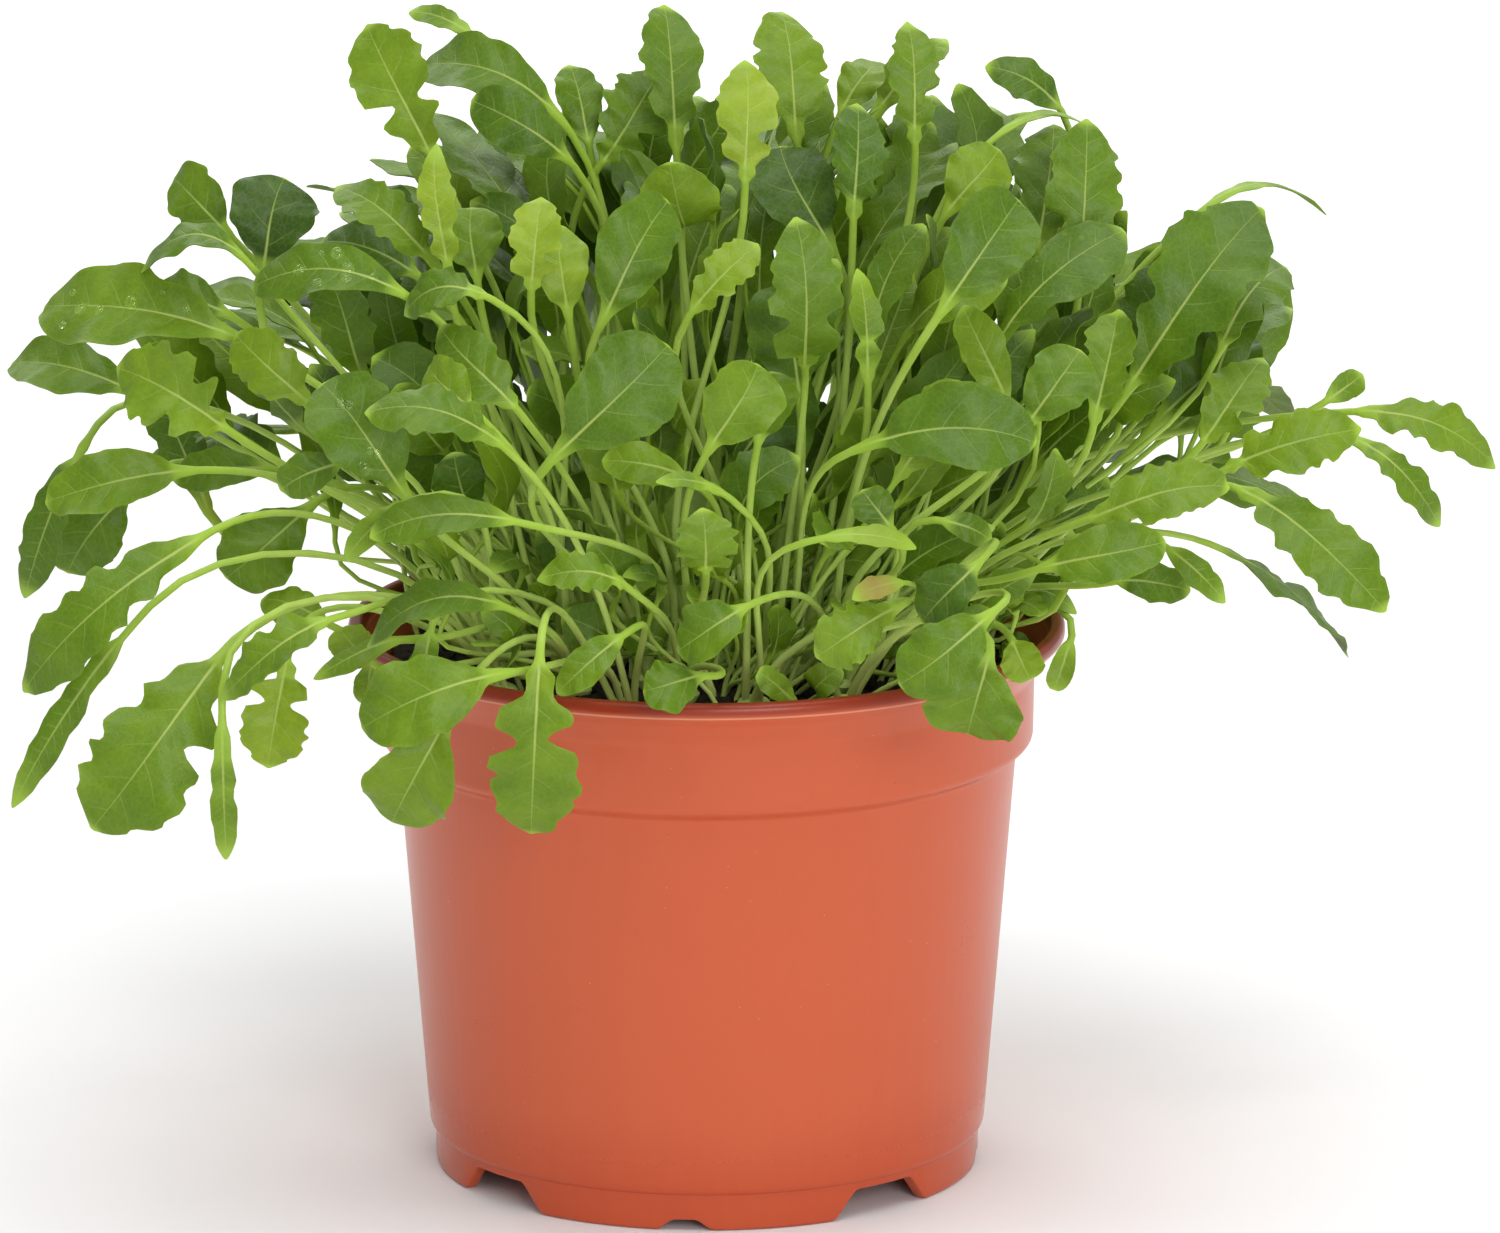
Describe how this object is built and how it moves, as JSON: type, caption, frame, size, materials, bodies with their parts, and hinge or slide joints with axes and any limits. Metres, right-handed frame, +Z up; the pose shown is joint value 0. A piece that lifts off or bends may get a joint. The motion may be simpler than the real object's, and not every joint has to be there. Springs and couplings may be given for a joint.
{
  "type": "potted arugula",
  "caption": "Dense clump of young arugula with lobed, toothed and oval leaves on long pale stalks, growing in dark soil in a round tapered plastic nursery pot with a flared rim.",
  "frame": {"origin": "on the pot's axis, at the underside of the pad in the middle of its base, on the surface that the pot stands on", "axes": "+Z up along the pot's axis; +X to the right and -Y towards the viewer of the clump's front"},
  "size_m": [0.2687, 0.2311, 0.2125],
  "materials": {
    "pot": "satin terracotta-coloured moulded plastic",
    "soil": "dark, moist, crumbly peat potting soil, quite matt",
    "leaf_fresh": "fresh green leaf, satin, slightly translucent",
    "leaf_deep": "deep green leaf with a bluish bloom, satin",
    "leaf_bright": "bright yellow-green young leaf, satin, slightly translucent"
  },
  "bodies": {
    "root": {"pot": "pot", "soil": "soil", "plant_01": "leaf_fresh", "plant_02": "leaf_deep", "plant_03": "leaf_bright", "plant_04": "leaf_fresh", "plant_05": "leaf_deep", "plant_06": "leaf_bright", "plant_07": "leaf_fresh", "plant_08": "leaf_deep", "plant_09": "leaf_bright", "plant_10": "leaf_fresh", "plant_11": "leaf_deep", "plant_12": "leaf_bright", "plant_13": "leaf_fresh", "plant_14": "leaf_deep", "plant_15": "leaf_bright", "plant_16": "leaf_fresh", "plant_17": "leaf_deep", "plant_18": "leaf_bright", "plant_19": "leaf_fresh", "plant_20": "leaf_deep", "plant_21": "leaf_bright", "plant_22": "leaf_fresh", "plant_23": "leaf_deep", "plant_24": "leaf_bright", "plant_25": "leaf_fresh", "plant_26": "leaf_deep", "plant_27": "leaf_bright", "plant_28": "leaf_fresh", "plant_29": "leaf_deep", "plant_30": "leaf_bright", "plant_31": "leaf_fresh", "plant_32": "leaf_deep", "plant_33": "leaf_bright", "plant_34": "leaf_fresh", "plant_35": "leaf_deep", "plant_36": "leaf_bright"}
  },
  "joints": []
}
